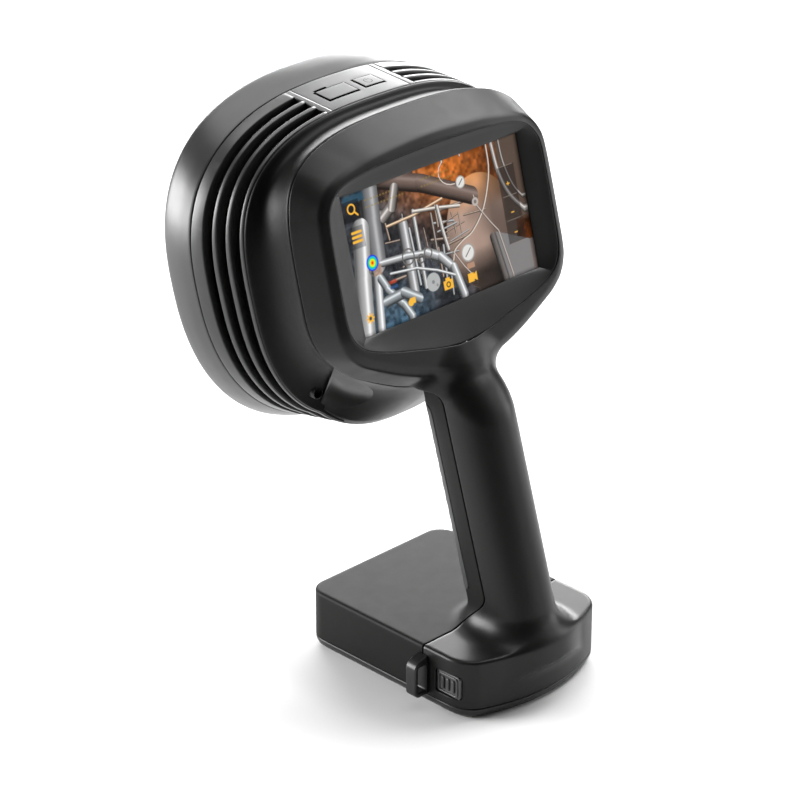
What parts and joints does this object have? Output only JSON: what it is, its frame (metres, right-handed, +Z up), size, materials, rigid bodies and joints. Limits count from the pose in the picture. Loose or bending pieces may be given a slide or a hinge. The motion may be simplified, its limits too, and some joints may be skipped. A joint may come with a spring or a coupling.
{
  "type": "acoustic imaging camera",
  "caption": "Handheld acoustic imaging camera: a wide microphone head with a rear screen on a pistol grip that stands on a battery base.",
  "frame": {"origin": "centre of the battery base's flat underside, under the middle of the base", "axes": "+Z up, the microphone face looks along -Y, the screen and the user are at +Y, X runs across the head, +X on the user's left"},
  "size_m": [0.1874, 0.1685, 0.2738],
  "materials": {
    "shell": "satin",
    "ring": "satin",
    "trim": "satin",
    "key": "satin",
    "grip": "matte",
    "face": "matte",
    "bezel": "gloss",
    "screen_glass": "gloss",
    "picture": "backlit",
    "board": "satin",
    "metal": "satin",
    "steel": "satin",
    "lens": "polished",
    "lamp": "polished",
    "gold": "polished",
    "cable": "matte"
  },
  "bodies": {
    "camera": {"front_ring": "ring", "array_face": "face", "mic_board": "board", "microphones": "steel", "lens_barrel": "trim", "lens_glass": "lens", "lamp_cups": "metal", "lamp_lenses": "lamp", "vent_frame": "ring", "vent_liner": "face", "top_panel": "ring", "switch_board": "board", "rear_cover": "trim", "cover_screws": "steel", "rear_shell": "shell", "screen_bezel": "bezel", "display_glass": "screen_glass", "lcd_panel": "picture", "main_board": "board", "heat_sink": "metal", "chin_cover": "shell", "front_shell": "shell", "grip_insert": "grip", "handle_harness": "cable", "strap_bracket": "trim", "contact_block": "trim"},
    "power_button": {"power_button": "key"},
    "menu_button": {"menu_button": "key"},
    "latch_left": {"latch_left": "key"},
    "latch_right": {"latch_right": "key"},
    "battery": {"battery_pack": "trim", "battery_contacts": "gold"}
  },
  "joints": [
    {"name": "power_press", "type": "slide", "parent": "camera", "child": "power_button", "axis": [0, 0.1219, -0.9925], "range_m": [0, 0.0008], "stiffness_N_per_m": 600},
    {"name": "menu_press", "type": "slide", "parent": "camera", "child": "menu_button", "axis": [0, 0.1219, -0.9925], "range_m": [0, 0.0008], "stiffness_N_per_m": 600},
    {"name": "latch_left_press", "type": "slide", "parent": "camera", "child": "latch_left", "axis": [-1, 0, 0], "range_m": [0, 0.0025], "stiffness_N_per_m": 500},
    {"name": "latch_right_press", "type": "slide", "parent": "camera", "child": "latch_right", "axis": [1, 0, 0], "range_m": [0, 0.0025], "stiffness_N_per_m": 500},
    {"name": "battery_removal", "type": "slide", "parent": "camera", "child": "battery", "axis": [0, 0, -1], "range_m": [0, 0.03]}
  ]
}
